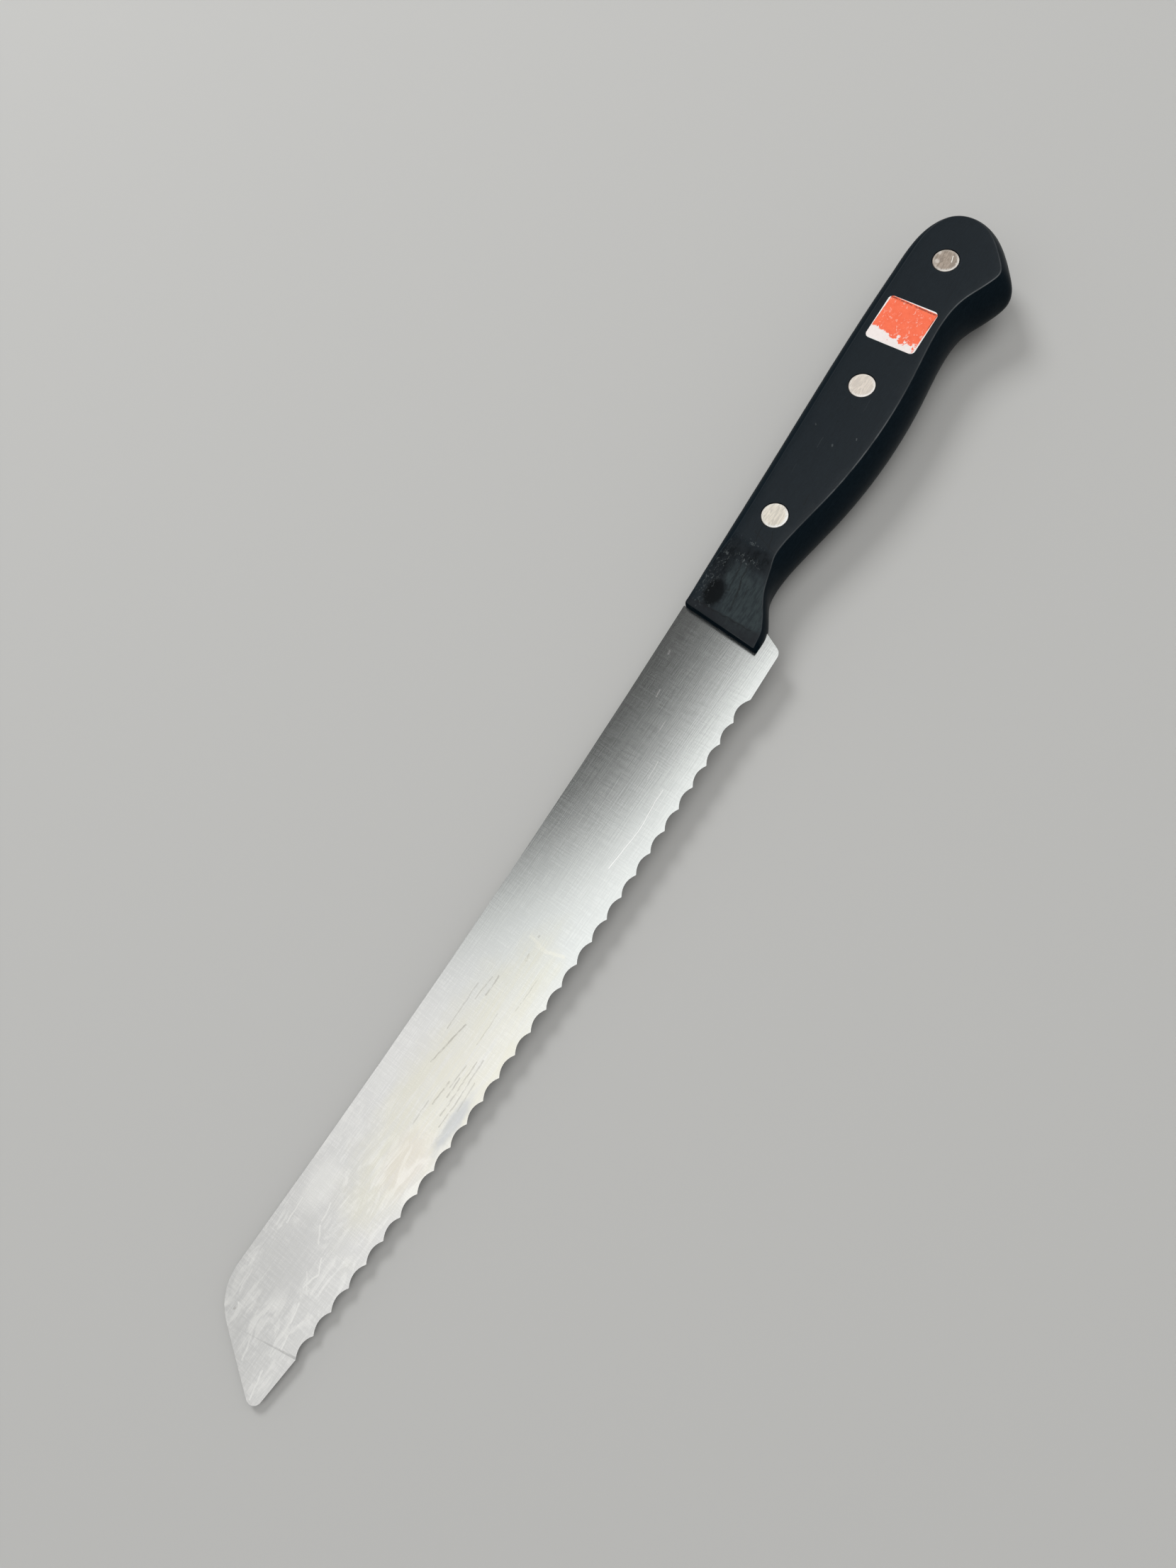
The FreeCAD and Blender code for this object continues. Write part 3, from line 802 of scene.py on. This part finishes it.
rivet_sizes = ("Head Radius", "Head Height", "Rounding", "Shank Radius", "Shank Length", "Bore Radius",
               "Bore Depth")
head_rounding = 0.24 * mm
arc_steps = 4
turned_sides = 96


def turning_tree():
    """Geometry tree that turns a rivet half round its axis, with the head's face at height 0."""
    tree = bpy.data.node_groups.new("turned_rivet_half", "GeometryNodeTree")
    for size in rivet_sizes:
        tree.interface.new_socket(size, in_out="INPUT", socket_type="NodeSocketFloat")
    tree.interface.new_socket("Metal", in_out="INPUT", socket_type="NodeSocketMaterial")
    tree.interface.new_socket("Geometry", in_out="OUTPUT", socket_type="NodeSocketGeometry")
    g = Nodes(tree)
    given = g.add("NodeGroupInput").outputs
    head, deep, soft, shank, reach, bore, hollow = given[:7]

    # the outline from the middle of the head to the end of the shank, as radius and depth below the face
    outline = [(0.0, 0.0)]
    for step in range(arc_steps + 1):
        angle = step / arc_steps * math.pi / 2
        outline.append((g.total(head, g.product(soft, math.sin(angle) - 1)),
                        g.product(soft, 1 - math.cos(angle))))
    end = g.total(deep, reach)
    bore_end = g.math("SUBTRACT", end, hollow)
    outline += [(head, deep), (shank, deep), (shank, end), (bore, end), (bore, bore_end), (0.0, bore_end)]
    last = len(outline) - 1

    # a grid of one row for each point of the outline, wrapped round the axis
    grid = g.add("GeometryNodeMeshGrid", 1.0, 1.0, turned_sides + 1, last + 1).outputs["Mesh"]
    x, y, _ = g.add("ShaderNodeSeparateXYZ", g.add("GeometryNodeInputPosition").outputs[0]).outputs
    row = g.math("ROUND", g.math("MULTIPLY_ADD", y, last, last / 2))
    angle = g.product(x, 2 * math.pi)
    switch = tree.nodes.new("GeometryNodeIndexSwitch")
    switch.data_type = "VECTOR"
    while len(switch.index_switch_items) < len(outline):
        switch.index_switch_items.new()
    g.link(switch.inputs[0], row)
    for socket, (radius, depth) in zip(switch.inputs[1:], outline):
        g.link(socket, g.add("ShaderNodeCombineXYZ", radius, 0.0, g.product(depth, -1.0)).outputs[0])
    radius, _, height = g.add("ShaderNodeSeparateXYZ", switch.outputs[0]).outputs
    turned = g.add("ShaderNodeCombineXYZ", g.product(radius, g.math("COSINE", angle)),
                   g.product(radius, g.math("SINE", angle)), height).outputs[0]
    placed = g.add("GeometryNodeSetPosition", grid, None, turned).outputs[0]
    closed = g.add("GeometryNodeMergeByDistance", placed, None, touching).outputs[0]
    real = g.add("GeometryNodeRealizeInstances", closed).outputs[0]
    g.add("NodeGroupOutput", g.add("GeometryNodeSetMaterial", real, None, given["Metal"]).outputs[0])
    return tree


turning = turning_tree()


def turned_half(name, metal, sizes, place):
    """One half of a rivet as a plain mesh, moved to its place on the knife."""
    obj = bpy.data.objects.new(name, bpy.data.meshes.new(name))
    bpy.context.scene.collection.objects.link(obj)
    lathe = obj.modifiers.new("lathe", "NODES")
    lathe.node_group = turning
    inputs = [item for item in turning.interface.items_tree if item.in_out == "INPUT"]
    sockets = {item.name: item.identifier for item in inputs}
    for size, value in zip(rivet_sizes, sizes):
        lathe[sockets[size]] = value
    lathe[sockets["Metal"]] = metal
    graph = bpy.context.evaluated_depsgraph_get()
    mesh = bpy.data.meshes.new_from_object(obj.evaluated_get(graph), depsgraph=graph)
    obj.modifiers.clear()
    mesh.name = name
    mesh.transform(place)
    obj.data = mesh
    return obj


def rivet_finish(name, middle, tint, dull, rim_highlight_tint, marks):
    """Brushed along the handle and polished at its border, with a highlight painted on one side of the
    border. Marks are counted from the middle.
    """
    m = Finish(name, Metallic=0.8)
    across = m.math("SUBTRACT", m.u, middle.x)
    down = m.math("SUBTRACT", m.v, middle.y)
    away = m.math("SQRT", m.total(m.product(across, across), m.product(down, down)))
    waves = m.noise(m.stretch(0.42, 1.9, shift=-middle.x), 1.0, 5.0, 0.62, 0.9)
    waves = m.ease(waves, 0.40, 0.60)
    fine = m.noise(m.stretch(0.8, 9.0, shift=-middle.x), 1.0, 3.0, 0.6)
    colour = m.mix(waves, tuple(dull * c for c in tint), tint)
    colour = m.mix(m.product(fine, 0.3), colour, tuple(0.8 * dull * c for c in tint))
    radius = head_radius / mm
    # painted highlight: the polished border is lighter on its side towards the cutting edge and the tip
    painted_highlight_side = m.ease(m.total(m.product(down, 0.8), m.product(across, 0.35)), -0.8, 2.2, 0.30, 1.0)
    rim = m.product(m.ease(m.total(away, m.product(waves, 0.25)), radius - 0.70, radius - 0.15), painted_highlight_side)
    colour = m.mix(rim, colour, rim_highlight_tint)
    edge = m.ease(away, radius - 0.10, radius)
    colour = m.mix(m.product(edge, 0.8), colour, tuple(0.45 * c for c in tint))
    if marks:
        place = m.vector("SUBTRACT", m.wobbled(0.1, 1.2), (middle.x, middle.y, 0.0))
        colour = m.mix(m.strokes(place, marks), colour, (0.98, 0.95, 0.90))
    return m.finish(Base_Color=colour, Roughness=m.total(m.product(fine, 0.1), 0.48),
                    Normal=m.bump(waves, 0.012))


# tint, share of it left in the dark waves, tint of the polished border with its painted highlight, marks
rivet_looks = (((0.99, 0.93, 0.82), 0.78, (1.0, 1.0, 0.97), ()),
               ((0.95, 0.87, 0.78), 0.85, (1.0, 0.97, 0.93), ()),
               ((0.58, 0.49, 0.41), 0.66, (0.82, 0.79, 0.74), (
                   (-1.85, 0.95, -0.1, 1.5, 0.17, 1.0), (-1.4, -2.4, -1.2, -2.4, 0.6, 0.5),
                   (1.0, -1.9, 1.2, -1.7, 0.8, 0.5))))
shank_radii = {"socket": 2.5 * mm, "stem": 1.6 * mm}
socket_bore_radius = 1.61 * mm
for name, point, look in zip(rivet_names, rivet_centres, rivet_looks):
    middle = Vector(((point.x - zero.x) / mm, (point.y - zero.y) / mm))
    metal = rivet_finish(name + "_rivet_metal", middle, *look)
    for half in ("socket", "stem"):
        node = name + "_rivet_" + half
        low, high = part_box(node)
        shank_length = high.z - low.z - rivet_head_height
        bore = (socket_bore_radius, shank_length)
        place = Matrix.Translation((point.x, point.y, high.z))
        if half == "stem":
            bore = (0.0, 0.0)
            place = Matrix.Translation((point.x, point.y, low.z)) @ Matrix.Rotation(math.pi, 4, "X")
        sizes = (head_radius, rivet_head_height, head_rounding, shank_radii[half], shank_length, *bore)
        turned = turned_half(name + "_" + half, metal, sizes, place)
        finish_piece(turned, metal, "rivet_metal", node, flat=0.9999)

# ------------------------------------------------------------------ label
# Printed film glued to the left grip, worn white on the side towards the blade.


def label_finish():
    m = Finish("label_film")
    low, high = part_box("label")
    left, right = (low.x - zero.x) / mm, (high.x - zero.x) / mm
    spine, belly = (low.y - zero.y) / mm, (high.y - zero.y) / mm
    wobble = m.math("SUBTRACT", m.noise(m.place, 1.3, 5.0, 0.7), 0.5)
    inward = m.least(m.math("SUBTRACT", m.u, left), m.math("SUBTRACT", right, m.u),
                     m.math("SUBTRACT", m.v, spine), m.math("SUBTRACT", belly, m.v))
    border = m.ease(m.total(inward, m.product(wobble, 0.35)), 0.48, 0.30)
    ink = m.mix(m.noise(m.place, 0.7, 4.0), (0.80, 0.115, 0.048), (0.92, 0.19, 0.095))
    scuffed = m.noise(m.stretch(0.9, 1.2, shift=3.0), 1.0, 6.0, 0.7, 0.6)
    ink = m.mix(m.product(m.ease(scuffed, 0.56, 0.66), 0.5), ink, (0.86, 0.66, 0.58))
    drift = m.math("SUBTRACT", m.noise(m.place, 0.55, 3.0), 0.5)
    worn_line = m.total(m.u, m.product(m.math("SUBTRACT", m.v, spine), -0.16), m.product(drift, 7.0),
                        m.product(wobble, 2.0))
    rubbed = m.ease(worn_line, -85.0, -84.5)
    white = m.mix(m.noise(m.place, 2.0, 4.0), (0.74, 0.72, 0.70), (0.86, 0.85, 0.84))
    colour = m.mix(m.most(border, m.product(rubbed, 0.92)), ink, white)
    dirt = m.most(m.seam(m.total(m.u, m.product(wobble, 0.25)), left + 0.75, 0.40),
                  m.product(m.seam(m.total(m.v, m.product(wobble, 0.2)), belly - 0.6, 0.15),
                            m.ease(m.u, -88.5, -89.5)))
    dirt = m.product(dirt, m.ease(m.noise(m.place, 1.1, 3.0), 0.38, 0.5), m.ease(inward, 0.2, 0.5))
    colour = m.mix(m.product(dirt, 0.85), colour, (0.16, 0.035, 0.022))
    return m.finish(Base_Color=colour, Roughness=0.5, Specular_IOR_Level=0.3,
                    Normal=m.bump(scuffed, 0.02))


dress(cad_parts["label"], label_finish())

# ------------------------------------------------------------------ floor, light and camera
# The knife rests on the ridge at the end of its right grip's face and on its tip, so the floor is tilted.

tip = Vector((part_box("blade")[1].x, centre("blade").y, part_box("blade")[0].z))
rest = Vector((ramp_start, tip.y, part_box("right_scale")[0].z))
floor_tilt = math.atan2(tip.z - rest.z, tip.x - rest.x)

floor_size = 12.0
bpy.ops.mesh.primitive_grid_add(x_subdivisions=2, y_subdivisions=2, size=floor_size)
floor = bpy.context.object
floor.name = "floor"
floor.data.transform(Matrix.Translation(rest) @ Matrix.Rotation(-floor_tilt, 4, "Y"))
dress(floor, Finish("floor_paper").finish(Base_Color=(0.46, 0.46, 0.45), Roughness=0.9))

# A broad ceiling light, brightest over the heel, with a dim patch beside it and dim walls.
world = bpy.data.worlds.new("studio")
bpy.context.scene.world = world
world.use_nodes = True
sky = Nodes(world.node_tree)
toward = sky.add("ShaderNodeTexCoord").outputs["Generated"]
dx, dy, dz = sky.add("ShaderNodeSeparateXYZ", toward).outputs
rise = sky.math("MAXIMUM", dz, 0.05)
to_tip, to_edge = sky.math("DIVIDE", dx, rise), sky.math("DIVIDE", dy, rise)
# the light fades away from the heel towards the spine and towards the handle
fade = sky.total(to_edge, sky.ease(to_tip, -0.36, -0.62, 0.0, -0.16))
faded = sky.math("EXPONENT", sky.product(sky.total(fade, 0.264), 38.0))
faded = sky.least(sky.total(faded, sky.ease(to_tip, -0.35, -0.75, 0.02, 0.22)), 2.3)
full = sky.total(sky.ease(to_tip, 0.12, 0.45, 1.36, 0.84),
                 sky.product(sky.ease(to_edge, -0.30, -0.24), 0.30))
slant = sky.total(to_tip, sky.product(sky.total(to_edge, 0.30), 1.6))
ceiling = sky.math("MULTIPLY_ADD", sky.ease(slant, -0.19, 0.01), sky.math("SUBTRACT", full, faded), faded)
wall_level = sky.ease(dz, 0.0, 0.45, 0.55, 0.40)
walls = sky.least(sky.ease(dz, 0.45, 0.80), sky.ease(to_edge, 0.75, 0.35))
light = sky.math("MULTIPLY_ADD", walls, sky.math("SUBTRACT", ceiling, wall_level), wall_level)
background = world.node_tree.nodes["Background"]
sky.link(background.inputs["Strength"], light)
background.inputs["Color"].default_value = (1.0, 0.995, 0.985, 1.0)

lamp = bpy.data.objects.new("side_light", bpy.data.lights.new("side_light", "AREA"))
bpy.context.scene.collection.objects.link(lamp)
lamp.data.shape = "DISK"
lamp.data.size = 0.5
lamp.data.energy = 9.0
lamp.location = (-0.45, -0.85, 1.0)
lamp.visible_glossy = False
lamp.rotation_euler = (-Vector(lamp.location)).to_track_quat("-Z", "Y").to_euler()

camera = bpy.data.objects.new("camera", bpy.data.cameras.new("camera"))
bpy.context.scene.collection.objects.link(camera)
bpy.context.scene.camera = camera
# the camera looks down on the knife from in front of its edge; its axes are unit vectors in the part's frame
right = Vector((-0.567907, 0.803065, -0.180468))
down = Vector((0.811743, 0.510163, -0.284266))
forward = Vector((-0.136216, -0.307930, -0.941607))
stand = on_knife(85.610, 64.315, 266.974 * mm)
frame_height, focal_length = 2212, 1661                     # of the camera, in one unit
turn = Matrix((right, -down, -forward)).transposed()
camera.matrix_world = Matrix.Translation(stand) @ turn.to_4x4()
camera.data.sensor_fit = "VERTICAL"
camera.data.sensor_height = 24.0
camera.data.lens = camera.data.sensor_height * focal_length / frame_height
camera.data.clip_start = 0.01

bpy.context.scene.view_settings.view_transform = "Standard"
